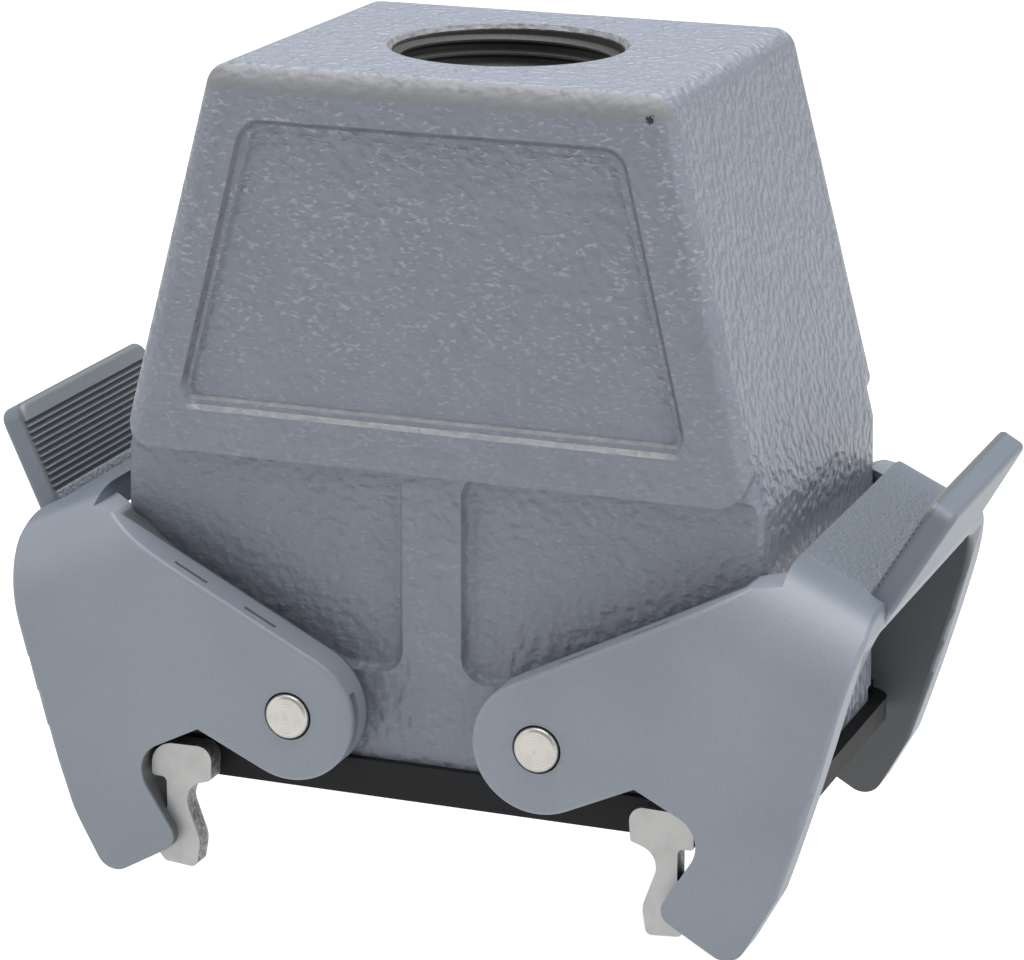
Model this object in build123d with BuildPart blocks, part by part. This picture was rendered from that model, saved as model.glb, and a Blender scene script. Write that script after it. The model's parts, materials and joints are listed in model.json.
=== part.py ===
from build123d import *
from math import cos, radians, sin, tan
import os

os.makedirs("parts", exist_ok=True)

# Heavy duty rectangular cable hood with two locking levers, in millimetres.
# Origin: middle of the footprint, Z = 0 where the four lever hooks touch the table.
# X runs along the hood's long side, -Y is the face seen in front, +Z is up.

# Driving dimensions of the hood casting
rim_half_length = 37.1
shelf_half_length = 36.1
top_half_length = 25.45
recess_half_depth = 21.4
rib_half_depth = 22.6
shelf_half_depth = 24.1
top_half_depth = 23.05
rim_height = 13.4
front_rim_height = 14.9
ledge_height = 25.2
waist_height = 46.6
shelf_height = 47.75
top_height = 89.7
lower_corner_radius = 3.2
panel_edge_radius = 2.6
wall_thickness = 2.6
roof_thickness = 5.0
rib_half_width = 3.8

# Cable entry M25 x 1.5
entry_radius = 12.5
entry_mouth_radius = 13.1
entry_collar_radius = 16.0
entry_depth = 13.5

# Levers and their pivots
pivot_half_spacing = 14.25
pivot_height = 20.7
lever_outer_half_width = 28.7
lever_edge_radius = 0.6
cheek_thickness = 4.5
lever_eye_radius = 7.4
rim_slope = 27.0
roof_slope = 25.0
bridge_thickness = 3.1
bridge_inner_edge = 25.0
bridge_edge_radius = 10.0
rim_curl_radius = 6.0
bridge_half_opening = 22.4
running_gap = 0.08
boss_radius = 6.0
boss_gap = 0.3

# Slots in the edge of a cheek, where the steel plate lies inside it
eye_groove_setback = 1.0
eye_groove_width = 1.3
eye_groove_depth = 0.8
eye_groove_sector = ((0, 0), (-12, 5.2), (-12, -12), (-4.2, -12))
rim_slit_setback = 1.4
rim_slit_width = 0.5
rim_slit_depth = 0.3
rim_slits = ((2.0, 5.6), (10.0, 13.8))

# Shelf inside the top corners of a lever, where the cheeks run into the bridge
corner_shelf_start = 21.8
corner_shelf_drop = 1.6
corner_shelf_half_width = 25.5
corner_web = 4.4

# Handle tab of a lever
tab_root = (32.25, 17.4)
tab_length = 11.8
tab_lean = 30.0
tab_thickness = 3.2
tab_root_half_width = 17.4
tab_tip_half_width = 15.5
tab_corner_radius = 1.8
tab_edge_radius = 0.7
tab_root_depth = 4.2
groove_count = 12
groove_pitch = 0.72
groove_width = 0.5
groove_depth = 0.42
first_groove = 1.5

# Pivot pins, hook plates and rim seal
pin_head_radius = 2.5
pin_head_length = 1.8
pin_head_gap = 0.2
pin_shank_radius = 2.0
pin_dome = 0.5
plate_thickness = 2.5
plate_setback = 1.5
seal_half_length = 38.8
seal_half_depth = 23.6
seal_bottom = 10.8
seal_opening_half_length = 33.4
seal_opening_half_depth = 17.0

# Contact insert, ten poles and protective earth
screw_half_length = 28.5
screw_half_depth = 13.5
insert_bottom = 11.2
insert_flange_bottom = 15.0
insert_flange_top = 18.2
insert_top = 31.0
insert_flange_half_length = 32.2
insert_half_depth = 16.4
insert_block_half_length = 23.6
contact_pitch = 8.8
contact_row_half_spacing = 6.6
contact_radius = 1.9
terminal_half_size = 2.6
terminal_bottom = 20.0
terminal_top = 28.0

end_slope = (shelf_half_length - top_half_length) / (top_height - shelf_height)
face_slope = (shelf_half_depth - top_half_depth) / (top_height - shelf_height)


def block_half_length(height):
    """Half length of the upper block at a height."""
    return shelf_half_length - (height - shelf_height) * end_slope


def block_half_depth(height):
    """Half depth of the upper block at a height."""
    return shelf_half_depth - (height - shelf_height) * face_slope


waist_half_length = block_half_length(waist_height)


def end_face_at(height):
    """Half length of the lower body at a height, and of the core that it sends up into the block."""
    if height > waist_height:
        return waist_half_length - (height - waist_height) * end_slope
    draft = (rim_half_length - waist_half_length) / (waist_height - rim_height)
    return waist_half_length + (waist_height - height) * draft


def side_profile(bottom, top, inset=0.0):
    """Corner points of the lower body seen from the front between two heights."""
    right = [(end_face_at(bottom) - inset, bottom)]
    if bottom < waist_height < top:
        right.append((waist_half_length - inset, waist_height))
    right.append((end_face_at(top) - inset, top))
    left = [(-x, z) for x, z in reversed(right)]
    return right + left


front = Plane.XZ
pivot_plane = Plane(origin=(pivot_half_spacing, 0, pivot_height), x_dir=(1, 0, 0), z_dir=(0, -1, 0))
cheek_inner_half_width = lever_outer_half_width - cheek_thickness
boss_half_depth = cheek_inner_half_width - boss_gap
plate_front = lever_outer_half_width - plate_setback
plate_back = plate_front - plate_thickness
sides = {"left": -1, "right": 1}
faces = {"front": -1, "rear": 1}


# Upper block of the casting: it stands proud of the lower body and narrows towards the top
shelf_corner_radius = 3.3
shelf_overlap = 5.0
with BuildPart() as upper_block:
    for height in (shelf_height - shelf_overlap, top_height):
        with BuildSketch(Plane.XY.offset(height)):
            Rectangle(2 * block_half_length(height), 2 * block_half_depth(height))
    loft()
    rounded = upper_block.edges().filter_by(lambda e: e.center().Z > shelf_height)
    fillet(rounded, panel_edge_radius)
    with BuildSketch(front) as shelf_outline:
        with BuildLine():
            Polyline((shelf_half_length, shelf_height), (top_half_length, top_height),
                     (-top_half_length, top_height), (-shelf_half_length, shelf_height), close=True)
        make_face()
        fillet(shelf_outline.vertices().group_by(Axis.Y)[0], shelf_corner_radius)
    extrude(amount=shelf_half_depth + 1, both=True, mode=Mode.INTERSECT)

# Frame pressed into both large faces of the upper block, in two steps
frame_bottom = 52.4
frame_top = 84.3
frame_bottom_half_length = 29.05
frame_top_half_length = 21.2
frame_steps = 2
frame_step_inset = 0.8
frame_step_depth = 0.5
frame_wall = 0.5
frame_corner_radius = 2.4
face_plane = Plane(origin=(0, -shelf_half_depth, shelf_height), x_dir=(1, 0, 0), z_dir=(0, -1, face_slope))


def frame_pocket(step):
    """One step of the frame in the front face, a shallow pocket with sloping walls."""
    inset = step * frame_step_inset
    depth = (step + 1) * frame_step_depth
    with BuildPart() as pocket:
        for lift, wall in ((-depth, frame_wall), (depth, -frame_wall)):
            low, high = (half - inset - wall for half in (frame_bottom_half_length, frame_top_half_length))
            bottom = frame_bottom - shelf_height + inset + wall
            top = frame_top - shelf_height - inset - wall
            with BuildSketch(face_plane.offset(lift)) as outline:
                with BuildLine():
                    Polyline((low, bottom), (high, top), (-high, top), (-low, bottom), close=True)
                make_face()
                fillet(outline.vertices(), frame_corner_radius - inset - wall)
        loft()
    return pocket.part


# Lower casting with the boss band, centre rib and four recessed panels
pocket_corner_radius = 2.4
pocket_wall_angle = 20
pocket_floor_radius = 0.9
open_end_reach = 4.0
band_bottom = front_rim_height
recess_depth = rib_half_depth - recess_half_depth
recess_half_width = (rim_half_length + open_end_reach - rib_half_width) / 2
recess_height = shelf_height - ledge_height


def recess_pocket(side, direction):
    """One recessed panel beside the centre rib, open to the end of the hood."""
    floor = Plane(origin=(side * (rib_half_width + recess_half_width), direction * recess_half_depth,
                          ledge_height + recess_height / 2), x_dir=(1, 0, 0), z_dir=(0, direction, 0))
    with BuildPart() as pocket:
        with BuildSketch(floor):
            RectangleRounded(2 * recess_half_width, recess_height, pocket_corner_radius)
        extrude(amount=recess_depth + 0.5, taper=-pocket_wall_angle)
        fillet(pocket.faces().sort_by_distance(floor.origin)[0].edges(), pocket_floor_radius)
    return pocket.part


with BuildPart() as rib_layer:
    with BuildSketch(front):
        with BuildLine():
            Polyline(*side_profile(band_bottom, shelf_height + shelf_overlap), close=True)
        make_face()
    extrude(amount=rib_half_depth, both=True)
    upright = rib_layer.edges().filter_by(lambda e: abs(e.tangent_at(0.5).Z) > 0.9)
    fillet(upright, lower_corner_radius)
    for side in sides.values():
        for direction in faces.values():
            add(recess_pocket(side, direction), mode=Mode.SUBTRACT)

cavity_half_depth = recess_half_depth - wall_thickness
lug_radius = 3.9
lug_web_length = 6.6
lug_top = insert_flange_top + 14
screw_thread_radius = 1.65
screw_hole_depth = 9.0
pin_inner_end = 19.4
end_wall_thickness = 2.8

with BuildPart() as hood_shell:
    with BuildSketch(front):
        with BuildLine():
            Polyline(*side_profile(rim_height, shelf_height + shelf_overlap), close=True)
        make_face()
    extrude(amount=recess_half_depth, both=True)
    upright = hood_shell.edges().filter_by(lambda e: abs(e.tangent_at(0.5).Z) > 0.9)
    fillet(upright, lower_corner_radius)
    add(rib_layer.part)
    add(upper_block.part)
    for step in range(frame_steps):
        add(frame_pocket(step), mode=Mode.SUBTRACT)
        mirror(frame_pocket(step), about=Plane.XZ, mode=Mode.SUBTRACT)
    with BuildSketch(front):
        for side in sides.values():
            with Locations((side * pivot_half_spacing, pivot_height)):
                Circle(boss_radius)
    extrude(amount=boss_half_depth, both=True)
    with BuildSketch(front):
        with BuildLine():
            Polyline(*side_profile(rim_height, top_height - roof_thickness, end_wall_thickness), close=True)
        make_face()
    extrude(amount=cavity_half_depth, both=True, mode=Mode.SUBTRACT)
    with BuildSketch(Plane.XY.offset(top_height - entry_depth)):
        Circle(entry_collar_radius)
    extrude(amount=entry_depth - roof_thickness + 1)
    with BuildSketch(Plane.XY.offset(insert_flange_top)):
        with GridLocations(2 * screw_half_length, 2 * screw_half_depth, 2, 2):
            Circle(lug_radius)
        with GridLocations(2 * (screw_half_length + lug_web_length / 2), 2 * screw_half_depth, 2, 2):
            Rectangle(lug_web_length, 2 * lug_radius)
    extrude(amount=lug_top - insert_flange_top)
    with BuildSketch(Plane.XY.offset(insert_flange_top)):
        with GridLocations(2 * screw_half_length, 2 * screw_half_depth, 2, 2):
            Circle(screw_thread_radius)
    extrude(amount=screw_hole_depth, mode=Mode.SUBTRACT)
    with BuildSketch(Plane.XY.offset(top_height)):
        Circle(entry_radius)
    extrude(amount=-entry_depth, mode=Mode.SUBTRACT)
    mouth = hood_shell.edges().filter_by(GeomType.CIRCLE).group_by(Axis.Z)[-1]
    chamfer(mouth, entry_mouth_radius - entry_radius)
    with BuildSketch(front):
        for side in sides.values():
            with Locations((side * pivot_half_spacing, pivot_height)):
                Circle(pin_shank_radius)
    extrude(amount=boss_half_depth, both=True, mode=Mode.SUBTRACT)
hood_shell.part.label = "hood_shell"
export_step(hood_shell.part, "parts/hood_shell.step")

# Moulded seal under the rim, with a low upstand along both long sides
with BuildPart() as rim_seal:
    with BuildSketch(Plane.XY.offset(seal_bottom)):
        RectangleRounded(2 * seal_half_length, 2 * seal_half_depth, 3.6)
        RectangleRounded(2 * seal_opening_half_length, 2 * seal_opening_half_depth, 1.5,
                         mode=Mode.SUBTRACT)
    extrude(amount=rim_height - seal_bottom)
    with BuildSketch(Plane.XY.offset(rim_height)):
        RectangleRounded(2 * rim_half_length, 2 * seal_half_depth, lower_corner_radius)
        Rectangle(3 * rim_half_length, 2 * recess_half_depth, mode=Mode.SUBTRACT)
    extrude(amount=front_rim_height - rim_height)
rim_seal.part.label = "rim_seal"
export_step(rim_seal.part, "parts/rim_seal.step")

# Stainless hook plate: free head and neck in the lever's notch, tail held in the cheek.
# Each corner of the outline comes with its rounding.
plate_outline = (((9.75, -5.45), 1.6), ((10.0, -9.35), 0.4), ((13.55, -10.5), 2.3), ((11.4, -16.6), 3.0),
                 ((11.9, -19.7), 0.7), ((15.6, -19.4), 0.7), ((16.9, -17.8), 0.6), ((20.6, -17.2), 0.9),
                 ((21.2, -13.3), 0.9), ((15.25, -13.3), 0.4), ((15.25, -9.55), 0.6), ((17.0, -9.5), 0.4),
                 ((17.0, -5.6), 2.6))


def round_corners(sketch, corners):
    """Rounds the corners of a sketch, each with the radius that comes with its place."""
    for place, radius in corners:
        fillet(sketch.vertices().sort_by_distance(place)[0], radius)


def hook_plate(face_depth):
    """One hook plate of the right lever, its back at a depth in front of the middle plane."""
    with BuildPart() as plate:
        with BuildSketch(pivot_plane.offset(face_depth)) as outline:
            with BuildLine():
                Polyline(*[place for place, radius in plate_outline], close=True)
            make_face()
            round_corners(outline, plate_outline)
        extrude(amount=plate_thickness)
    return plate.part


right_plates = {"front": hook_plate(plate_back), "rear": hook_plate(-plate_front)}

# Space between the cheeks of the right lever, under its bridge
bridge_fall = tan(radians(roof_slope))
rim_rise = tan(radians(rim_slope))
rim_touch = (-lever_eye_radius * sin(radians(rim_slope)), lever_eye_radius * cos(radians(rim_slope)))
underside_drop = bridge_thickness / cos(radians(roof_slope))
near, far, deep = -12.0, 46.0, -30.0


def rim_at(x):
    """Height of a cheek's upper rim above the pivot."""
    return rim_touch[1] + (x - rim_touch[0]) * rim_rise


bridge_peak = rim_at(bridge_inner_edge)


def bridge_top_at(x):
    """Height of the bridge's top face above the pivot."""
    return bridge_peak - (x - bridge_inner_edge) * bridge_fall


with BuildPart() as lever_space:
    with BuildSketch(pivot_plane):
        with BuildLine():
            Polyline((near, deep), (far, deep), (far, bridge_top_at(far) - underside_drop),
                     (near, bridge_top_at(near) - underside_drop), close=True)
        make_face()
    extrude(amount=cheek_inner_half_width, both=True)
    sloped = lever_space.edges().filter_by(lambda e: abs(e.tangent_at(0.5).Z) > 0.2
                                           and abs(e.tangent_at(0.5).X) > 0.2)
    fillet(sloped, bridge_edge_radius - bridge_thickness)

# Outline of a cheek in the pivot frame: X away from the hood's middle, Z up
notch_peak = (11.0, -3.05)
notch_corners = (((19.1, -7.2), 3.4), ((13.3, -16.6), 1.75))
foot_radius = 2.4
foot_centre = (21.0, foot_radius - pivot_height)
foot_arc = [(foot_centre[0] + foot_radius * cos(radians(turn)),
             foot_centre[1] + foot_radius * sin(radians(turn))) for turn in (240, 270, 332)]
hook_heel = (26.6, -13.0)
outer_bulge = (30.4, -0.5)
outer_shoulder = (34.2, 14.6)
eye_lower_touch = (3.1, -6.72)
eye_left = (-lever_eye_radius, 0)
eye_lower_left = (-3.4, -6.57)
tab_axis = Vector(sin(radians(tab_lean)), 0, cos(radians(tab_lean)))
tab_outward = Vector(cos(radians(tab_lean)), 0, -sin(radians(tab_lean)))
tab_origin = Vector(pivot_half_spacing + tab_root[0], 0, pivot_height + tab_root[1])
tab_plane = Plane(origin=tab_origin, x_dir=(0, 1, 0), z_dir=tuple(tab_outward))
tab_up = 1 if tab_plane.y_dir.dot(tab_axis) > 0 else -1


def on_cheek_face(edge):
    """True for an edge of the flat outer face of a cheek."""
    return abs(abs(edge.center().Y) - lever_outer_half_width) < 0.01


def is_rim_edge(edge):
    """True for the upper rim of a cheek and the round of its eye."""
    middle = edge @ 0.5
    x, z = middle.X - pivot_half_spacing, middle.Z - pivot_height
    return edge.length < 20 and (x < 10 or z > 2)


def is_arch_edge(edge):
    """True for the outermost edge of the lever: the two cheek bulges and the arch that joins them."""
    x = (edge @ 0.5).X - pivot_half_spacing
    bulge = on_cheek_face(edge) and edge.geom_type == GeomType.CIRCLE and edge.length > 20
    arch = x > 31 and abs(edge.center().Y) > 16 and abs(edge.tangent_at(0.5).Y) > 0.3
    return bulge or arch and not on_cheek_face(edge)


shelf_level = bridge_peak - corner_shelf_drop
shelf_pocket = [(corner_shelf_start, shelf_level), (bridge_inner_edge, shelf_level),
                (bridge_inner_edge, far), (corner_shelf_start, far)]
passage_end = pivot_half_spacing + bridge_inner_edge
passage_outline = [(0, -bridge_half_opening), (passage_end - corner_web, -bridge_half_opening),
                   (passage_end, corner_web - bridge_half_opening),
                   (passage_end, bridge_half_opening - corner_web),
                   (passage_end - corner_web, bridge_half_opening), (0, bridge_half_opening)]

# Handle tab, grooved on the face that looks at the hood
with BuildPart() as tab:
    with BuildSketch(tab_plane) as tab_face:
        with BuildLine():
            Polyline((-tab_root_half_width, -tab_up * tab_root_depth),
                     (tab_root_half_width, -tab_up * tab_root_depth), (tab_root_half_width, 0),
                     (tab_tip_half_width, tab_up * tab_length), (-tab_tip_half_width, tab_up * tab_length),
                     (-tab_root_half_width, 0), close=True)
        make_face()
        tips = [v for v in tab_face.vertices() if v.Y * tab_up > 1]
        fillet(tips, tab_corner_radius)
    extrude(amount=tab_thickness)
    tip_edges = [e for e in tab.edges() if (e @ 0.5 - tab_origin).dot(tab_axis) > 1
                 and abs(e.tangent_at(0.5).dot(tab_outward)) < 0.5]
    fillet(tip_edges, tab_edge_radius)
    for row in range(groove_count):
        with BuildSketch(tab_plane):
            with Locations((0, tab_up * (first_groove + row * groove_pitch))):
                Rectangle(2 * tab_root_half_width + 1, groove_width)
        extrude(amount=groove_depth, mode=Mode.SUBTRACT)

with BuildPart() as right_lever:
    with BuildSketch(pivot_plane) as cheek_face:
        with BuildLine():
            Polyline(eye_lower_touch, notch_peak, *[place for place, radius in notch_corners], foot_arc[0])
            ThreePointArc(*foot_arc)
            Line(foot_arc[-1], hook_heel)
            ThreePointArc(hook_heel, outer_bulge, outer_shoulder)
            Polyline(outer_shoulder, (outer_shoulder[0], bridge_top_at(outer_shoulder[0])),
                     (eye_left[0], bridge_top_at(eye_left[0])), eye_left)
            ThreePointArc(eye_left, eye_lower_left, eye_lower_touch)
        make_face()
        round_corners(cheek_face, notch_corners)
    extrude(amount=lever_outer_half_width, both=True)
    sloped = right_lever.edges().filter_by(lambda e: e.geom_type == GeomType.LINE
                                           and e.tangent_at(0.5).Z * e.tangent_at(0.5).X < -0.2
                                           and e.length > 30)
    fillet(sloped, bridge_edge_radius)
    with BuildSketch(pivot_plane) as above_rim:
        with BuildLine():
            Polyline((near, rim_at(near)), (bridge_inner_edge, bridge_peak), (bridge_inner_edge, far),
                     (near, far), close=True)
        make_face()
        round_corners(above_rim, (((bridge_inner_edge, bridge_peak), rim_curl_radius),))
    extrude(amount=lever_outer_half_width + 1, both=True, mode=Mode.SUBTRACT)
    with BuildSketch(pivot_plane):
        with BuildLine():
            Polyline((near, 0), (0, 0), rim_touch, (near, far), close=True)
        make_face()
        Circle(lever_eye_radius, mode=Mode.SUBTRACT)
    extrude(amount=lever_outer_half_width + 1, both=True, mode=Mode.SUBTRACT)
    add(lever_space.part, mode=Mode.SUBTRACT)
    rim_edges = right_lever.edges().filter_by(on_cheek_face).filter_by(is_rim_edge)
    fillet(rim_edges, lever_edge_radius)
    arch_edges = right_lever.edges().filter_by(is_arch_edge)
    fillet(arch_edges, lever_edge_radius)
    with BuildSketch(Plane.XY):
        with BuildLine():
            Polyline(*passage_outline, close=True)
        make_face()
    extrude(amount=2 * far, both=True, mode=Mode.SUBTRACT)
    with BuildSketch(pivot_plane):
        with BuildLine():
            Polyline(*shelf_pocket, close=True)
        make_face()
    extrude(amount=corner_shelf_half_width, both=True, mode=Mode.SUBTRACT)
    add(tab.part)
    add(lever_space.part, mode=Mode.SUBTRACT)
    with BuildSketch(pivot_plane):
        Circle(pin_shank_radius + running_gap)
    extrude(amount=lever_outer_half_width + 1, both=True, mode=Mode.SUBTRACT)
    for direction in faces.values():
        with BuildSketch(pivot_plane.offset(direction * (lever_outer_half_width - pin_head_length - 0.1))):
            Circle(pin_head_radius + pin_head_gap)
        extrude(amount=direction * (pin_head_length + 1), mode=Mode.SUBTRACT)
    for direction in faces.values():
        with BuildSketch(pivot_plane.offset(direction * (lever_outer_half_width - eye_groove_setback))):
            with BuildLine():
                Polyline(*eye_groove_sector, close=True)
            make_face()
            Circle(lever_eye_radius - eye_groove_depth, mode=Mode.SUBTRACT)
        extrude(amount=-direction * eye_groove_width, mode=Mode.SUBTRACT)
        with BuildSketch(pivot_plane.offset(direction * (lever_outer_half_width - rim_slit_setback))):
            for start, end in rim_slits:
                with BuildLine():
                    Polyline((start, rim_at(start) - rim_slit_depth), (end, rim_at(end) - rim_slit_depth),
                             (end, rim_at(end) + 1), (start, rim_at(start) + 1), close=True)
                make_face()
        extrude(amount=-direction * rim_slit_width, mode=Mode.SUBTRACT)
    for plate in right_plates.values():
        add(plate, mode=Mode.SUBTRACT)
right_lever.part.label = "right_lever"
export_step(right_lever.part, "parts/right_lever.step")

with BuildPart() as left_lever:
    mirror(right_lever.part, about=Plane.YZ)
left_lever.part.label = "left_lever"
export_step(left_lever.part, "parts/left_lever.step")

for face, plate in right_plates.items():
    plate.label = f"hook_plate_right_{face}"
    export_step(plate, f"parts/hook_plate_right_{face}.step")
    with BuildPart() as hook_plate_left:
        mirror(plate, about=Plane.YZ)
    hook_plate_left.part.label = f"hook_plate_left_{face}"
    export_step(hook_plate_left.part, f"parts/hook_plate_left_{face}.step")

# Shouldered pivot pins, pressed into the bosses of the casting
for side_name, side in sides.items():
    for face_name, direction in faces.items():
        axis_plane = Plane(origin=(side * pivot_half_spacing, 0, pivot_height), x_dir=(1, 0, 0),
                           z_dir=(0, direction, 0))
        with BuildPart() as pin:
            with BuildSketch(axis_plane.offset(pin_inner_end)):
                Circle(pin_shank_radius)
            extrude(amount=lever_outer_half_width - pin_head_length - pin_inner_end)
            with BuildSketch(axis_plane.offset(lever_outer_half_width - pin_head_length)):
                Circle(pin_head_radius)
            extrude(amount=pin_head_length + pin_dome)
            head_edge = pin.edges().filter_by(GeomType.CIRCLE).sort_by(Axis.Y)[-1 if direction > 0 else 0]
            fillet(head_edge, pin_dome)
        pin.part.label = f"pivot_pin_{side_name}_{face_name}"
        export_step(pin.part, f"parts/pivot_pin_{side_name}_{face_name}.step")

# Moulded body of the contact insert
contact_columns = [(i - 2) * contact_pitch for i in range(5)]
contact_spots = [(x, y) for y in (-contact_row_half_spacing, contact_row_half_spacing)
                 for x in contact_columns]
terminal_height = (terminal_bottom + terminal_top) / 2
terminal_screw_radius = 1.5
earth_spot = 27.5
with BuildPart() as insert_body:
    with BuildSketch(Plane.XY.offset(insert_bottom)):
        RectangleRounded(2 * insert_block_half_length + 4, 2 * insert_half_depth - 4, 1.5)
    extrude(amount=insert_flange_bottom - insert_bottom)
    with BuildSketch(Plane.XY.offset(insert_flange_bottom)):
        RectangleRounded(2 * insert_flange_half_length, 2 * insert_half_depth, 2.0)
    extrude(amount=insert_flange_top - insert_flange_bottom)
    with BuildSketch(Plane.XY.offset(insert_flange_top)):
        RectangleRounded(2 * insert_block_half_length, 2 * insert_half_depth, 1.5)
    extrude(amount=insert_top - insert_flange_top)
    with BuildSketch(Plane.XY.offset(insert_bottom)):
        with Locations(*contact_spots):
            Circle(contact_radius)
    extrude(amount=terminal_bottom - insert_bottom, mode=Mode.SUBTRACT)
    with BuildSketch(Plane.XY.offset(terminal_bottom)):
        with Locations(*contact_spots):
            Rectangle(2 * terminal_half_size, 2 * terminal_half_size)
    extrude(amount=insert_top - terminal_bottom, mode=Mode.SUBTRACT)
    with BuildSketch(front):
        with Locations(*[(x, terminal_height) for x in contact_columns]):
            Circle(terminal_screw_radius)
    extrude(amount=insert_half_depth + 1, both=True, mode=Mode.SUBTRACT)
    with BuildSketch(Plane.XY.offset(insert_flange_bottom)):
        with GridLocations(2 * screw_half_length, 2 * screw_half_depth, 2, 2):
            Circle(screw_thread_radius)
        for side in sides.values():
            with Locations((side * earth_spot, 0)):
                Circle(1.6)
    extrude(amount=insert_flange_top - insert_flange_bottom, mode=Mode.SUBTRACT)
insert_body.part.label = "insert_body"
export_step(insert_body.part, "parts/insert_body.step")

# Ten socket contacts, each with a square terminal block on top
socket_radius = 1.25
socket_depth = 7.0
wire_radius = 1.5
for number, (x, y) in enumerate(contact_spots, start=1):
    with BuildPart() as contact:
        with BuildSketch(Plane.XY.offset(insert_bottom + 0.3)):
            with Locations((x, y)):
                Circle(contact_radius)
        extrude(amount=terminal_bottom - insert_bottom - 0.3)
        with BuildSketch(Plane.XY.offset(terminal_bottom)):
            with Locations((x, y)):
                Rectangle(2 * terminal_half_size, 2 * terminal_half_size)
        extrude(amount=terminal_top - terminal_bottom)
        with BuildSketch(Plane.XY.offset(insert_bottom)):
            with Locations((x, y)):
                Circle(socket_radius)
        extrude(amount=socket_depth, mode=Mode.SUBTRACT)
        with BuildSketch(Plane.XY.offset(terminal_top)):
            with Locations((x, y)):
                Circle(wire_radius)
        extrude(amount=-5.0, mode=Mode.SUBTRACT)
    contact.part.label = f"contact_{number:02d}"
    export_step(contact.part, f"parts/contact_{number:02d}.step")

# Terminal screws: one for each contact, driven from the long sides of the insert
terminal_face = contact_row_half_spacing + terminal_half_size
with BuildPart() as terminal_screws:
    for direction in faces.values():
        screw_plane = Plane(origin=(0, direction * terminal_face, terminal_height), x_dir=(1, 0, 0),
                            z_dir=(0, direction, 0))
        with BuildSketch(screw_plane):
            with Locations(*[(x, 0) for x in contact_columns]):
                Circle(terminal_screw_radius)
        extrude(amount=5.2)
        with BuildSketch(screw_plane.offset(5.2)):
            with Locations(*[(x, 0) for x in contact_columns]):
                Rectangle(0.5, 2.6)
        extrude(amount=-0.6, mode=Mode.SUBTRACT)
terminal_screws.part.label = "terminal_screws"
export_step(terminal_screws.part, "parts/terminal_screws.step")

# Protective earth plates on the insert's short ends, and their clamp screws
earth_thickness = 1.0
for side_name, side in sides.items():
    with BuildPart() as earth_plate:
        with BuildSketch(Plane.XY.offset(insert_flange_bottom - earth_thickness)):
            with Locations((side * (earth_spot + 1.4), 0)):
                RectangleRounded(4.6, 15.0, 1.0)
        extrude(amount=earth_thickness)
        with BuildSketch(Plane.XY.offset(insert_flange_bottom)):
            with Locations((side * earth_spot, 0)):
                Circle(1.6)
        extrude(amount=-earth_thickness, mode=Mode.SUBTRACT)
    earth_plate.part.label = f"earth_plate_{side_name}"
    export_step(earth_plate.part, f"parts/earth_plate_{side_name}.step")

with BuildPart() as earth_screws:
    with BuildSketch(Plane.XY.offset(insert_flange_bottom - earth_thickness)):
        with Locations((-earth_spot, 0), (earth_spot, 0)):
            Circle(1.6)
    extrude(amount=insert_flange_top - insert_flange_bottom + earth_thickness)
    with BuildSketch(Plane.XY.offset(insert_flange_top)):
        with Locations((-earth_spot, 0), (earth_spot, 0)):
            Circle(2.6)
    extrude(amount=2.0)
earth_screws.part.label = "earth_screws"
export_step(earth_screws.part, "parts/earth_screws.step")

# Four captive screws that hold the insert to the lugs of the casting
screw_head_radius = 2.7
screw_head_height = 2.2
with BuildPart() as insert_screws:
    with BuildSketch(Plane.XY.offset(insert_flange_bottom)):
        with GridLocations(2 * screw_half_length, 2 * screw_half_depth, 2, 2):
            Circle(screw_thread_radius)
    extrude(amount=insert_flange_top - insert_flange_bottom + 8)
    with BuildSketch(Plane.XY.offset(insert_flange_bottom)):
        with GridLocations(2 * screw_half_length, 2 * screw_half_depth, 2, 2):
            Circle(screw_head_radius)
    extrude(amount=-screw_head_height)
    with BuildSketch(Plane.XY.offset(insert_flange_bottom - screw_head_height)):
        with GridLocations(2 * screw_half_length, 2 * screw_half_depth, 2, 2):
            Rectangle(0.8, 4.6)
    extrude(amount=0.9, mode=Mode.SUBTRACT)
insert_screws.part.label = "insert_screws"
export_step(insert_screws.part, "parts/insert_screws.step")
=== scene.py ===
import bmesh
import bpy
import json
import math
from mathutils import Matrix, Vector


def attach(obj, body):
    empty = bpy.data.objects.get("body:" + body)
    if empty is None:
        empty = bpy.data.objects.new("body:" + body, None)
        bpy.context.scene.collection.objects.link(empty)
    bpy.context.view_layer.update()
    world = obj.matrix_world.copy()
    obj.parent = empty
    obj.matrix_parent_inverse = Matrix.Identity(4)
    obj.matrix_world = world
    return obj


# heavy duty rectangular connector hood with two locking levers
# metres, Z up; the hood's long side runs along X and its front looks along -Y

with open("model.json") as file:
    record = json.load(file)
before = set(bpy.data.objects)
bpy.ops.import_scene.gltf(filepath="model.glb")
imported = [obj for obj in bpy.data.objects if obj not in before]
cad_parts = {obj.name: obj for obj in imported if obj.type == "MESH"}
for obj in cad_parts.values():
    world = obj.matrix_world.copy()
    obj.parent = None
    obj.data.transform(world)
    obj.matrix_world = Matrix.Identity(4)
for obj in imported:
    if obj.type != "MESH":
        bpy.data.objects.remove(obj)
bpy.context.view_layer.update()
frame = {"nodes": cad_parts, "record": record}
print("frame loaded:", len(frame["nodes"]), "nodes")


# camera: turned and tilted to the photograph's viewing angle

view = {
    "place": (0.149148, -0.393836, 0.165156),
    "azimuth": 20.667,
    "elevation": 16.454,
    "roll": 0.202,
    "lens": 138.84,
    "sensor": 36.0,
}


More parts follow.
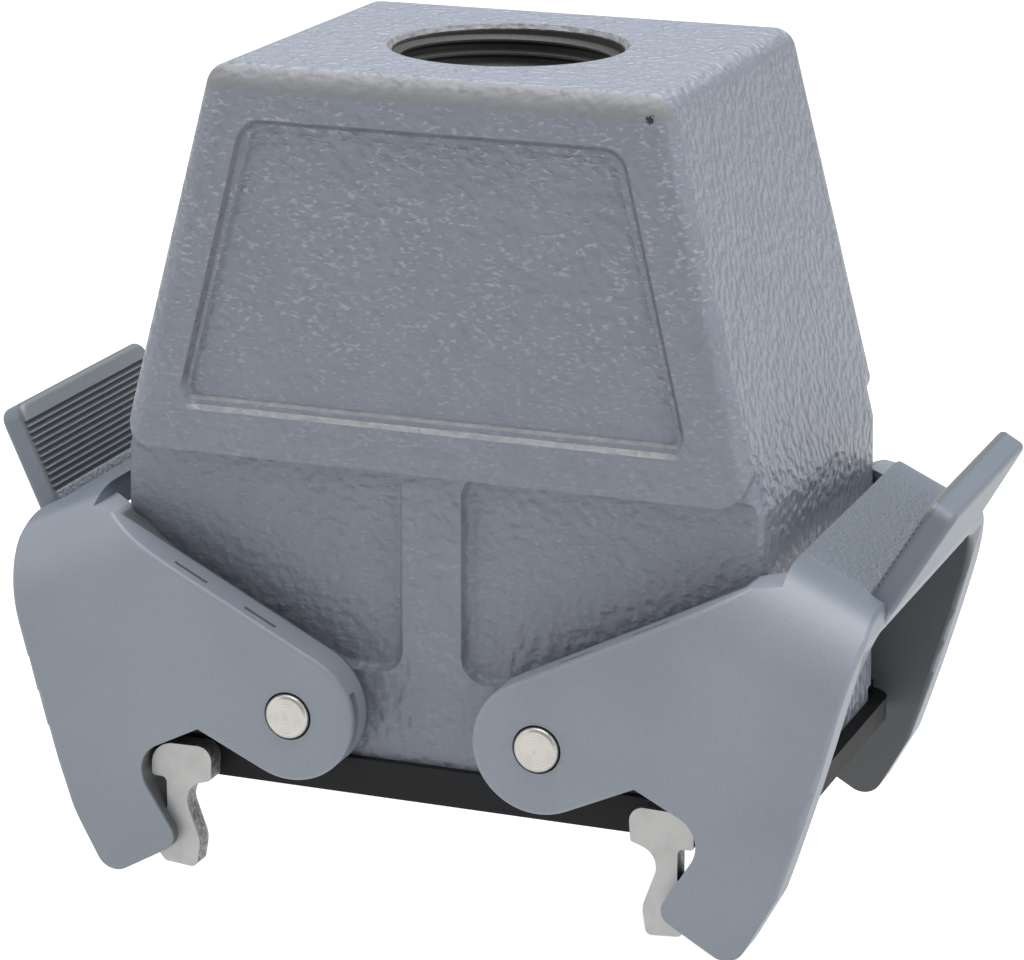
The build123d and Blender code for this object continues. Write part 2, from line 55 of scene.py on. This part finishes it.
def addCamera():
    data = bpy.data.cameras.new("photoCamera")
    data.sensor_fit = "HORIZONTAL"
    data.sensor_width = view["sensor"]
    data.lens = view["lens"]
    data.clip_start = 0.01
    data.clip_end = 20
    camera = bpy.data.objects.new("photoCamera", data)
    bpy.context.scene.collection.objects.link(camera)
    turn = Matrix.Rotation(math.radians(view["azimuth"]), 4, "Z")
    tilt = Matrix.Rotation(math.radians(90 - view["elevation"]), 4, "X")
    roll = Matrix.Rotation(math.radians(view["roll"]), 4, "Z")
    camera.matrix_world = Matrix.Translation(view["place"]) @ turn @ tilt @ roll
    bpy.context.scene.camera = camera


addCamera()
bpy.context.scene.view_settings.view_transform = "Standard"
print("camera placed")


# shader maths: a Signal is one socket, and plain arithmetic on it adds Math nodes

class Signal:
    def __init__(self, finish, socket):
        self.finish = finish
        self.socket = socket

    def maths(self, operation, first, second=None):
        sockets = {0: first}
        if second is not None:
            sockets[1] = second
        return self.finish.node("ShaderNodeMath", {"operation": operation}, sockets)

    def __add__(self, other):
        return self.maths("ADD", self, other)

    def __radd__(self, other):
        return self.maths("ADD", other, self)

    def __sub__(self, other):
        return self.maths("SUBTRACT", self, other)

    def __rsub__(self, other):
        return self.maths("SUBTRACT", other, self)

    def __mul__(self, other):
        return self.maths("MULTIPLY", self, other)

    def __rmul__(self, other):
        return self.maths("MULTIPLY", other, self)

    def __pow__(self, other):
        return self.maths("POWER", self, other)

    def __abs__(self):
        return self.maths("ABSOLUTE", self)

    def rise(self, low, high):
        # 0 below low, 1 above high, smooth between
        return self.finish.node("ShaderNodeMapRange", {"interpolation_type": "SMOOTHSTEP"},
                                {"Value": self, "From Min": low, "From Max": high})

    def fall(self, low, high):
        return 1 - self.rise(low, high)

    def most(self, other):
        return self.maths("MAXIMUM", self, other)

    def least(self, other):
        return self.maths("MINIMUM", self, other)


class Finish:
    def __init__(self, name, **constants):
        self.material = bpy.data.materials.new(name)
        self.material.use_nodes = True
        self.tree = self.material.node_tree
        self.shader = self.tree.nodes["Principled BSDF"]
        for socket, value in constants.items():
            self.shader.inputs[socket.replace("_", " ")].default_value = value
        self.place = self.node("ShaderNodeTexCoord", output="Object")

    def node(self, kind, settings=None, sockets=None, output=0):
        made = self.tree.nodes.new(kind)
        for setting, value in (settings or {}).items():
            setattr(made, setting, value)
        for socket, value in (sockets or {}).items():
            self.feed(made.inputs[socket], value)
        return Signal(self, made.outputs[output])

    def feed(self, socket, value):
        if isinstance(value, Signal):
            self.tree.links.new(value.socket, socket)
        elif socket.type == "RGBA":
            socket.default_value = (*value[:3], 1)
        else:
            socket.default_value = value

    def axes(self):
        # the three object coordinates, in metres
        split = self.tree.nodes.new("ShaderNodeSeparateXYZ")
        self.feed(split.inputs[0], self.place)
        return [Signal(self, split.outputs[i]) for i in range(3)]

    def stretched(self, x, y, z):
        return self.node("ShaderNodeMapping", None, {"Vector": self.place, "Scale": (x, y, z)})

    def noise(self, size, detail=2.0, rough=0.5, where=None, twist=0.0):
        # size is the width of a typical blotch, in metres
        return self.node("ShaderNodeTexNoise", None, {
            "Vector": where or self.place, "Scale": 1 / size, "Detail": detail, "Roughness": rough,
            "Distortion": twist})

    def cells(self, size, soft):
        return self.node("ShaderNodeTexVoronoi", {"feature": "SMOOTH_F1"}, {
            "Vector": self.place, "Scale": 1 / size, "Smoothness": soft}, output="Distance")

    def blendColours(self, amount, first, second):
        return self.node("ShaderNodeMix", {"data_type": "RGBA"}, {0: amount, 6: first, 7: second}, output=2)

    def bump(self, height, depth, before=None):
        # height runs from 0 to 1 and depth is what 1 stands for, in metres
        sockets = {"Height": height, "Distance": depth, "Strength": 1}
        if before is not None:
            sockets["Normal"] = before
        return self.node("ShaderNodeBump", None, sockets)

    def set(self, **signals):
        for socket, value in signals.items():
            self.feed(self.shader.inputs[socket.replace("_", " ")], value)
        return self.material


# textured paint of the cast hood
# a pair of lengths says where a stretch of the paint starts to show and where it shows in full

hoodPaint = {
    "colour": (0.166, 0.182, 0.222),
    "dark": (0.143, 0.156, 0.190),
    # painted light: the top face is coloured paler, for the light falling on it
    "topPaintedLight": (0.225, 0.245, 0.300),
    # painted glints: the colour of the light flecks
    "glintFleck": (0.33, 0.34, 0.37),
    "rubbed": (0.172, 0.175, 0.178),
    # painted shade on the frame's top and side wall; the next colour is a painted highlight on its lit
    # bottom walls
    "frameShade": (0.075, 0.080, 0.090),
    "framePaintedHighlight": (0.33, 0.33, 0.33),
    # the entry bore: painted shade darkens its top, painted light lifts its deeper turns
    "bore": (0.034, 0.033, 0.032),
    "boreDeep": (0.125, 0.122, 0.118),
    "chip": (0.022, 0.022, 0.024),
    "cover": {"dark": 0.35, "topPaintedLight": 0.8, "glintFleck": 0.6, "rubbed": 0.8,
              "frameShade": 0.75, "framePaintedHighlight": 0.7},
    "roughness": 0.36,
    "roughnessSpread": 0.10,
    "mattRoughness": 0.3,
    "grain": 0.0003,
    "grainDepth": 0.000010,
    "lump": 0.00105,
    "lumpDepth": 0.00030,
    "wander": 0.005,
    "cloud": 0.006,
    "calm": 0.60,
    "shadedLumps": 0.85,
    "topLumps": 0.7,
    "faceDepth": (0.0206, 0.0211),
    "recessDepth": (0.0213, 0.0217),
    "shadedHeight": (0.029, 0.041),
    "topHeight": (0.0884, 0.0894),
}
glintFlecks = {
    "height": 0.00038,
    "stretch": 0.48,
    "depth": 0.00007,
    "patches": 0.0040,
    "fewBelow": (0.045, 0.070),
    "fewest": 0.35,
}
paintWear = {
    "blotch": 0.0012,
    "raggedness": 0.0016,
    "edgeDepth": (0.0206, 0.0218),
    "edgeHeight": (0.0868, 0.0876),
    "mouthRadius": (0.0131, 0.0133),
    "smoothing": 0.25,
    "chipPlace": (0.0240, 0.0875),
    "chipSize": 0.00052,
    "chipDepth": (-0.022, -0.021),
    "chipRaggedness": 3.2,
}
entryBore = {
    "radius": (0.01252, 0.01262),
    "bottom": (0.0755, 0.0760),
    "paintedLightFade": (0.0835, 0.0885),
}
pressedFrame = {
    "bottomWalls": ((0.0524, 0.0529), (0.05345, 0.05375)),
    "bottomReach": (0.0272, 0.0280),
    "leastHighlight": 0.55,
    "smoothing": 0.6,
    "top": 0.0843,
    "side": 0.02905,
    "lean": 0.246,
    "corner": 0.0024,
    "wall": 0.00042,
    "blur": 0.0001,
    "sideStart": (0.0540, 0.0560),
}


def hoodPaintMaterial():
    # the paint is wrinkled on the top and the ends, calm on the large faces, and flecked all over with
    # painted glints; the top is painted lighter as painted light
    paint = Finish("hoodPaint", IOR=1.5)
    x, y, z = paint.axes()
    depth = abs(y)
    face = depth.rise(*hoodPaint["faceDepth"])
    shaded = z.fall(*hoodPaint["shadedHeight"]) * depth.fall(*hoodPaint["recessDepth"])
    top = z.rise(*hoodPaint["topHeight"])
    radius = (x * x + y * y) ** 0.5
    bore = radius.fall(*entryBore["radius"]) * z.rise(*entryBore["bottom"])
    raggedNoise = paint.noise(paintWear["blotch"], detail=3.0, rough=0.6)
    raggedHeight = z + (raggedNoise - 0.5) * paintWear["raggedness"]
    edge = depth.rise(*paintWear["edgeDepth"]) * raggedHeight.rise(*paintWear["edgeHeight"])
    rubbed = edge.most(radius.fall(*paintWear["mouthRadius"]) * top)
    # painted highlight and painted shade along the pressed frame
    framePaintedHighlight, frameShade = frameMasks(x, z, face, raggedNoise)

    wander = paint.noise(hoodPaint["wander"], detail=1.0)
    strength = (1 - face * (1 - hoodPaint["calm"])).most(shaded * hoodPaint["shadedLumps"])
    strength = strength * (1 + top * hoodPaint["topLumps"]) * (0.75 + wander * 0.5)
    lumps = paint.noise(hoodPaint["lump"], detail=1.0, rough=0.35)
    pebbles = paint.cells(hoodPaint["lump"] * 1.25, soft=0.6)
    relief = lumps.rise(0.22, 0.78) * 0.6 + pebbles.fall(0.0, 0.75) * 0.4
    # painted glints, kept off the top and the rubbed edge
    glintFleck = glintFleckMask(paint, z) * (1 - top) * (1 - rubbed)
    chip = chipMask(paint, x, y, z)

    cover = hoodPaint["cover"]
    cloud = paint.noise(hoodPaint["cloud"], detail=3.0).rise(0.35, 0.7)
    colour = hoodPaint["colour"]
    # the pale top, the light flecks and the frame's line and shade are painted light and painted shade laid
    # over the paint colour
    layers = {"dark": cloud, "topPaintedLight": top, "glintFleck": glintFleck * face, "rubbed": rubbed,
              "frameShade": frameShade, "framePaintedHighlight": framePaintedHighlight}
    for name, mask in layers.items():
        colour = paint.blendColours(mask * cover[name], colour, hoodPaint[name])
    # painted shade at the top of the bore fading into painted light deeper down
    borePaintedLight = paint.blendColours(z.fall(*entryBore["paintedLightFade"]), hoodPaint["bore"], hoodPaint["boreDeep"])
    colour = paint.blendColours(bore, colour, borePaintedLight)
    colour = paint.blendColours(chip, colour, hoodPaint["chip"])

    grain = paint.noise(hoodPaint["grain"], detail=2.0)
    first = paint.bump(grain, hoodPaint["grainDepth"])
    strength = strength * (1 - chip) * (1 - bore)
    strength = strength * (1 - rubbed * paintWear["smoothing"])
    strength = strength * (1 - framePaintedHighlight * pressedFrame["smoothing"])
    second = paint.bump(relief * strength, hoodPaint["lumpDepth"], before=first)
    third = paint.bump(glintFleck * (1 - bore), glintFlecks["depth"], before=second)
    rough = hoodPaint["roughness"] + (grain - 0.5) * hoodPaint["roughnessSpread"]
    rough = rough + (chip + rubbed + bore) * hoodPaint["mattRoughness"]
    return paint.set(Base_Color=colour, Roughness=rough, Normal=third)


def frameMasks(x, z, face, raggedNoise):
    # painted highlight on the lit walls along the frame's bottom, and painted shade on the shaded wall
    # round its top and sides
    lit = 0
    for low, high in pressedFrame["bottomWalls"]:
        lit = lit + z.rise(low - 0.00008, low + 0.00002) * z.fall(high, high + 0.0001)
    leastHighlight = pressedFrame["leastHighlight"]
    lit = lit * face * (leastHighlight + raggedNoise.rise(0.35, 0.65) * (1 - leastHighlight))
    lit = lit * abs(x).fall(*pressedFrame["bottomReach"])
    corner = pressedFrame["corner"]
    upright = abs(x) + (z - pressedFrame["bottomWalls"][0][0]) * pressedFrame["lean"]
    pastSide = upright - (pressedFrame["side"] - corner)
    pastTop = z - (pressedFrame["top"] - corner)
    cornerReach = (pastSide.most(0) ** 2 + pastTop.most(0) ** 2) ** 0.5
    outside = cornerReach + pastSide.most(pastTop).least(0) - corner
    wall, blur = pressedFrame["wall"], pressedFrame["blur"]
    shade = outside.rise(-wall - 2 * blur, -wall) * outside.fall(-blur, blur)
    return lit, shade * z.rise(*pressedFrame["sideStart"]) * face


def glintFleckMask(paint, z):
    # painted glints: short light dashes, fewer towards the rim
    stretch, fewest = glintFlecks["stretch"], glintFlecks["fewest"]
    dashes = paint.noise(glintFlecks["height"], detail=1.0, rough=0.4, twist=0.3,
                         where=paint.stretched(stretch, stretch, 1))
    patches = paint.noise(glintFlecks["patches"], detail=2.0)
    share = fewest + z.rise(*glintFlecks["fewBelow"]) * (1 - fewest)
    return dashes.rise(0.52, 0.73) * patches.rise(0.26, 0.56) * share


def chipMask(paint, x, y, z):
    # one small chip near the top right corner of the front
    across, up = paintWear["chipPlace"]
    size = paintWear["chipSize"]
    ragged = paint.noise(size * 0.7, detail=3.0, rough=0.7)
    reach = ((x - across) ** 2 + (z - up) ** 2) ** 0.5 + (ragged - 0.5) * size * paintWear["chipRaggedness"]
    return reach.fall(size * 0.55, size * 0.75) * y.fall(*paintWear["chipDepth"])


# moulded plastic of the two levers

leverPlastic = {
    "colour": (0.186, 0.209, 0.245),
    "pale": (0.214, 0.238, 0.276),
    "shade": (0.140, 0.152, 0.174),
    # painted shade: the dark colour inside the lever and in its notches
    "inside": (0.075, 0.082, 0.086),
    # painted shade: the darker colour of the bridge top
    "bridgeTop": (0.112, 0.134, 0.165),
    # painted shade on the ribbed face of the tab
    "tabFaceShade": (0.160, 0.174, 0.194),
    # painted shade, darker still, in the tab's grooves
    "grooveShade": (0.100, 0.110, 0.121),
    "shadeCover": 0.25,
    "bridgeCover": 0.85,
    "roughness": 0.46,
    "roughnessSpread": 0.16,
    "grain": 0.00030,
    "grainDepth": 0.000022,
    "flow": 0.02,
    "swirl": 0.0028,
    "swirlShare": 0.3,
    "speckle": 0.00048,
    "speckleShare": 0.7,
    "speckleDepth": 0.00006,
    "crumbDepth": 0.00030,
}
# the lever's own shape, measured from its pivot, and the pairs of lengths where a colour starts and is full
leverShape = {
    "pivot": (0.01425, 0.0207),
    "cheekInside": (0.0244, 0.0246),
    "belowBridge": (-0.0038, -0.0032),
    "notchDepth": (0.0282, 0.0285),
    "notchLeft": (0.0072, 0.0078),
    "notchRight": (0.0200, 0.0206),
    "notchBottom": (-0.0185, -0.0175),
    "notchTop": (-0.0026, -0.0022),
    "bridgePeak": (0.0250, 0.0210),
    "bridgeFall": 0.4663,
    "bridgeHalfWidth": (0.0205, 0.0262),
    "bridgeFace": (-0.0012, -0.0004),
    "bridgeStart": (0.0225, 0.0245),
    "tabRoot": (0.03225, 0.0174),
    "tabLean": math.radians(30),
    "tabSkin": (0.0006, 0.0010),
    "tabStart": (0.0002, 0.0007),
    "grooveFloor": (0.00008, 0.00030),
    "crumbSkin": (0.0003, 0.0006),
    "crumbHalfWidth": (0.0160, 0.0175),
    "crumbStart": (-0.0009, -0.0004),
    "crumbEnd": (0.0010, 0.0013),
}


def leverPlasticMaterial():
    # painted shade darkens the inside of the lever and its notches, the bridge top and the ribbed face of
    # the tab
    facts, shape = leverPlastic, leverShape
    plastic = Finish("leverPlastic", IOR=1.5)
    x, y, z = plastic.axes()
    out = abs(x) - shape["pivot"][0]
    high = z - shape["pivot"][1]
    depth = abs(y)
    peakOut, peakHigh = shape["bridgePeak"]
    bridgeDrop = high - peakHigh + (out - peakOut) * shape["bridgeFall"]
    inside = depth.fall(*shape["cheekInside"]) * bridgeDrop.fall(*shape["belowBridge"])
    notch = out.rise(*shape["notchLeft"]) * out.fall(*shape["notchRight"])
    notch = notch * high.rise(*shape["notchBottom"]) * high.fall(*shape["notchTop"])
    notch = notch * depth.fall(*shape["notchDepth"])
    bridge = depth.fall(*shape["bridgeHalfWidth"]) * bridgeDrop.rise(*shape["bridgeFace"])
    bridge = bridge * out.rise(*shape["bridgeStart"])
    lean, rootOut, rootHigh = shape["tabLean"], *shape["tabRoot"]
    across = (out - rootOut) * math.cos(lean) - (high - rootHigh) * math.sin(lean)
    along = (out - rootOut) * math.sin(lean) + (high - rootHigh) * math.cos(lean)
    tabFaceShade = across.fall(*shape["tabSkin"]) * along.rise(*shape["tabStart"])
    grooveShade = tabFaceShade * across.rise(*shape["grooveFloor"])
    crumb = across.fall(*shape["crumbSkin"]) * depth.fall(*shape["crumbHalfWidth"])
    crumb = crumb * along.rise(*shape["crumbStart"]) * along.fall(*shape["crumbEnd"])

    grain = plastic.noise(facts["grain"], detail=3.0, rough=0.6)
    swirl = plastic.noise(facts["swirl"], detail=3.0, twist=0.4)
    speckle = plastic.noise(facts["speckle"], detail=2.0, rough=0.6)
    flow = plastic.noise(facts["flow"], detail=2.0)
    colour = plastic.blendColours(flow.rise(0.3, 0.75), facts["colour"], facts["pale"])
    colour = plastic.blendColours(grain.fall(0.25, 0.6) * facts["shadeCover"], colour, facts["shade"])
    # painted shade on the bridge top
    colour = plastic.blendColours(bridge * facts["bridgeCover"], colour, facts["bridgeTop"])
    # painted shade on the tab's ribbed face and deeper in its grooves
    colour = plastic.blendColours(tabFaceShade, colour, facts["tabFaceShade"])
    colour = plastic.blendColours(grooveShade, colour, facts["grooveShade"])
    # painted shade inside the lever and in its notches
    colour = plastic.blendColours(inside.most(notch), colour, facts["inside"])
    first = plastic.bump(grain, facts["grainDepth"])
    ripple = swirl * facts["swirlShare"] + speckle * bridge * facts["speckleShare"]
    second = plastic.bump(ripple, facts["speckleDepth"], before=first)
    third = plastic.bump(speckle * crumb, facts["crumbDepth"], before=second)
    rough = facts["roughness"] + (grain - 0.5) * facts["roughnessSpread"]
    return plastic.set(Base_Color=colour, Roughness=rough, Normal=third)


# turned ends of the pivot pins

pinSteel = {
    "colour": (0.50, 0.485, 0.45),
    "dull": (0.36, 0.35, 0.325),
    "roughness": 0.34,
    "pivot": (0.01425, 0.0207),
    "headRadius": 0.0025,
    "ringSpacing": 0.00034,
    "centreMark": 0.00035,
    "smudge": 0.0016,
    "scratch": 0.0009,
    "reliefDepth": 0.00002,
    "tone": {"smudge": 0.35, "edge": 0.3, "rings": 0.12, "centre": 0.3},
    "relief": {"rings": 0.5, "smudge": 0.2, "centre": 0.8},
}


def pinSteelMaterial():
    steel = Finish("pinSteel", Metallic=1.0)
    x, y, z = steel.axes()
    across, up = pinSteel["pivot"]
    radius = ((abs(x) - across) ** 2 + (z - up) ** 2) ** 0.5
    phase = radius * (math.tau / pinSteel["ringSpacing"])
    rings = phase.maths("SINE", phase) * 0.5 + 0.5
    smudge = steel.noise(pinSteel["smudge"], detail=4.0, rough=0.65)
    scratch = steel.noise(pinSteel["scratch"], detail=2.0, where=steel.stretched(1, 1, 0.25))
    edge = radius.rise(pinSteel["headRadius"] * 0.86, pinSteel["headRadius"] * 0.99)
    centre = radius.fall(pinSteel["centreMark"] * 0.5, pinSteel["centreMark"])
    tone, depth = pinSteel["tone"], pinSteel["relief"]
    dullness = smudge.rise(0.42, 0.72) * tone["smudge"] + edge * tone["edge"]
    dullness = dullness + rings * tone["rings"] + centre * tone["centre"]
    colour = steel.blendColours(dullness, pinSteel["colour"], pinSteel["dull"])
    rough = pinSteel["roughness"] + smudge * 0.10 + scratch.rise(0.5, 0.8) * 0.05
    height = rings * depth["rings"] + smudge * depth["smudge"] - centre * depth["centre"]
    relief = steel.bump(height, pinSteel["reliefDepth"])
    return steel.set(Base_Color=colour, Roughness=rough, Normal=relief)


# stamped hook plates

plateSteel = {
    "colour": (0.43, 0.43, 0.425),
    "dull": (0.36, 0.36, 0.355),
    # painted shade: the dark colour of the sheared edge faces
    "shearedEdgeShade": (0.11, 0.11, 0.108),
    "innerFace": (0.0248, 0.0250),
    "outerFace": (0.0269, 0.0271),
    "roughness": 0.42,
    "tear": 0.0006,
    "tearShare": 3.0,
    "brush": 0.0014,
    "smudge": 0.003,
    "fine": 0.00025,
    "reliefDepth": 0.000010,
}


def plateSteelMaterial():
    # the sheared edges between the two flat faces are coarse, and painted dark as painted shade
    steel = Finish("plateSteel", Metallic=1.0)
    x, y, z = steel.axes()
    edge = abs(y).rise(*plateSteel["innerFace"]) * abs(y).fall(*plateSteel["outerFace"])
    tear = steel.noise(plateSteel["tear"], detail=4.0, rough=0.7)
    brushed = steel.noise(plateSteel["brush"], detail=4.0, rough=0.7, where=steel.stretched(6, 6, 0.5))
    smudge = steel.noise(plateSteel["smudge"], detail=3.0)
    fine = steel.noise(plateSteel["fine"], detail=2.0)
    colour = steel.blendColours(smudge.rise(0.4, 0.75) * 0.5, plateSteel["colour"], plateSteel["dull"])
    # painted shade on the sheared edge faces
    colour = steel.blendColours(edge * tear.fall(0.3, 0.75), colour, plateSteel["shearedEdgeShade"])
    rough = plateSteel["roughness"] + brushed * 0.16 + smudge * 0.06
    height = brushed * 0.6 + fine * 0.4 + tear * edge * plateSteel["tearShare"]
    relief = steel.bump(height, plateSteel["reliefDepth"])
    return steel.set(Base_Color=colour, Roughness=rough, Normal=relief)


# moulded rim seal

sealRubber = {
    "colour": (0.0060, 0.0064, 0.0078),
    "dusty": (0.0100, 0.0105, 0.0125),
    "roughness": 0.55,
    "dust": 0.006,
    "grain": 0.0004,
    "grainDepth": 0.000006,
}


def sealRubberMaterial():
    rubber = Finish("sealRubber", IOR=1.5, Specular_IOR_Level=0.25)
    dust = rubber.noise(sealRubber["dust"], detail=4.0, rough=0.6)
    grain = rubber.noise(sealRubber["grain"], detail=2.0)
    colour = rubber.blendColours(dust.rise(0.5, 0.8) * 0.6, sealRubber["colour"], sealRubber["dusty"])
    rough = sealRubber["roughness"] + dust * 0.14
    relief = rubber.bump(grain, sealRubber["grainDepth"])
    return rubber.set(Base_Color=colour, Roughness=rough, Normal=relief)


# contact insert, seen from below and through the entry

insertPlastic = {
    "colour": (0.50, 0.51, 0.48),
    "shade": (0.40, 0.41, 0.385),
    "roughness": 0.5,
    "flow": 0.009,
    "grain": 0.0003,
    "grainDepth": 0.000010,
}
platedMetal = {
    "stain": 0.0022,
    "tarnish": 0.7,
    "roughnessSpread": 0.2,
    "grain": 0.0003,
    "grainDepth": 0.000006,
}


def insertPlasticMaterial():
    plastic = Finish("insertPlastic", IOR=1.5)
    flow = plastic.noise(insertPlastic["flow"], detail=3.0)
    grain = plastic.noise(insertPlastic["grain"], detail=2.0)
    colour = plastic.blendColours(flow.rise(0.35, 0.75), insertPlastic["colour"], insertPlastic["shade"])
    rough = insertPlastic["roughness"] + grain * 0.12
    relief = plastic.bump(grain, insertPlastic["grainDepth"])
    return plastic.set(Base_Color=colour, Roughness=rough, Normal=relief)


def platedMetalMaterial(name, bright, tarnished, roughness):
    metal = Finish(name, Metallic=1.0)
    stain = metal.noise(platedMetal["stain"], detail=4.0, rough=0.6)
    grain = metal.noise(platedMetal["grain"], detail=2.0)
    colour = metal.blendColours(stain.rise(0.45, 0.75) * platedMetal["tarnish"], bright, tarnished)
    rough = roughness + stain * platedMetal["roughnessSpread"]
    relief = metal.bump(grain, platedMetal["grainDepth"])
    return metal.set(Base_Color=colour, Roughness=rough, Normal=relief)


finishes = {
    "hood_paint": hoodPaintMaterial(),
    "lever_plastic": leverPlasticMaterial(),
    "pin_steel": pinSteelMaterial(),
    "plate_steel": plateSteelMaterial(),
    "seal": sealRubberMaterial(),
    "insert_plastic": insertPlasticMaterial(),
    "contact_metal": platedMetalMaterial("contactSilver", (0.78, 0.76, 0.71), (0.52, 0.47, 0.38), 0.28),
    "zinc_steel": platedMetalMaterial("screwZinc", (0.62, 0.64, 0.66), (0.42, 0.42, 0.40), 0.32),
    "earth_metal": platedMetalMaterial("earthTin", (0.60, 0.60, 0.58), (0.44, 0.43, 0.40), 0.36),
}
print("materials made:", len(finishes))

for part in frame["record"]["subparts"]:
    node = frame["nodes"][part["node"]]
    node.data.materials.clear()
    node.data.materials.append(finishes[part["material_slot"]])
print("CAD nodes dressed")


# thread turns in the cable entry: a helical ridge on the plain bore

entryThread = {
    "wallRadius": 0.0125,
    "crest": 0.00082,
    "pitch": 0.0015,
    "turns": 7.6,
    "top": 0.0885,
    "stepsPerTurn": 72,
    "rootWidth": 0.00118,
    "crestWidth": 0.00022,
    "bite": 0.00006,
}


def makeEntryThread():
    size = entryThread
    bm = bmesh.new()
    outside = size["wallRadius"] + size["bite"]
    inside = size["wallRadius"] - size["crest"]
    low = size["top"] - size["turns"] * size["pitch"]
    profile = [(outside, -size["rootWidth"] / 2), (inside, -size["crestWidth"] / 2),
               (inside, size["crestWidth"] / 2), (outside, size["rootWidth"] / 2)]
    corners = [bm.verts.new((radius, 0, low + height)) for radius, height in profile]
    start = bm.faces.new(corners)
    steps = int(size["turns"] * size["stepsPerTurn"])
    rise = Vector((0, 0, size["turns"] * size["pitch"] / steps))
    bmesh.ops.spin(bm, geom=[start, *start.edges, *start.verts], cent=(0, 0, 0), axis=(0, 0, 1), dvec=rise,
                   angle=math.tau * size["turns"], steps=steps, use_duplicate=False)
    bmesh.ops.remove_doubles(bm, verts=bm.verts, dist=1e-7)
    bmesh.ops.recalc_face_normals(bm, faces=bm.faces)
    mesh = bpy.data.meshes.new("entry_thread")
    bm.to_mesh(mesh)
    bm.free()
    piece = bpy.data.objects.new("entry_thread", mesh)
    bpy.context.scene.collection.objects.link(piece)
    piece.data.materials.append(finishes["hood_paint"])
    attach(piece, "hood")
    return piece


makeEntryThread()
print("thread cut in the entry")


# studio: three soft lights, and a pale floor just low enough for the levers to open above it

studio = {
    "floorSize": 6.0,
    "floorHeight": -0.0095,
    "floorColour": (0.30, 0.30, 0.30),
    "floorGlow": 0.86,
    "surroundings": 0.42,
}
softLights = {
    "topSoftbox": {"place": (0.02, 0.10, 0.95), "aim": (0, 0, 0.05), "size": (1.0, 0.8), "power": 15.0,
                   "colour": (1, 1, 1)},
    "rightSoftbox": {"place": (0.95, -0.10, 0.42), "aim": (0, 0, 0.05), "size": (1.0, 0.9), "power": 3.7,
                     "colour": (0.965, 1.0, 1.01)},
    "leftSoftbox": {"place": (-0.85, -0.45, 0.40), "aim": (0, 0, 0.05), "size": (0.7, 0.8), "power": 2.45,
                    "colour": (1, 1, 1)},
}


def addFloor():
    bm = bmesh.new()
    bmesh.ops.create_grid(bm, x_segments=1, y_segments=1, size=studio["floorSize"] / 2,
                          matrix=Matrix.Translation((0, 0, studio["floorHeight"])))
    mesh = bpy.data.meshes.new("floor")
    bm.to_mesh(mesh)
    bm.free()
    floor = bpy.data.objects.new("floor", mesh)
    bpy.context.scene.collection.objects.link(floor)
    pale = Finish("floorPale", Roughness=0.9, Emission_Color=(1, 1, 1, 1),
                  Emission_Strength=studio["floorGlow"])
    floor.data.materials.append(pale.set(Base_Color=studio["floorColour"]))


def addSoftLight(name, facts):
    data = bpy.data.lights.new(name, "AREA")
    data.shape = "RECTANGLE"
    data.size, data.size_y = facts["size"]
    data.energy = facts["power"]
    data.color = facts["colour"]
    lamp = bpy.data.objects.new(name, data)
    bpy.context.scene.collection.objects.link(lamp)
    lamp.location = facts["place"]
    aim = Vector(facts["aim"]) - Vector(facts["place"])
    lamp.rotation_euler = aim.to_track_quat("-Z", "Y").to_euler()


def addSurroundings():
    world = bpy.data.worlds.new("studioAir")
    world.use_nodes = True
    air = world.node_tree.nodes["Background"]
    air.inputs["Color"].default_value = (1, 1, 1, 1)
    air.inputs["Strength"].default_value = studio["surroundings"]
    bpy.context.scene.world = world


addFloor()
addSurroundings()
for name, facts in softLights.items():
    addSoftLight(name, facts)
print("studio lit")
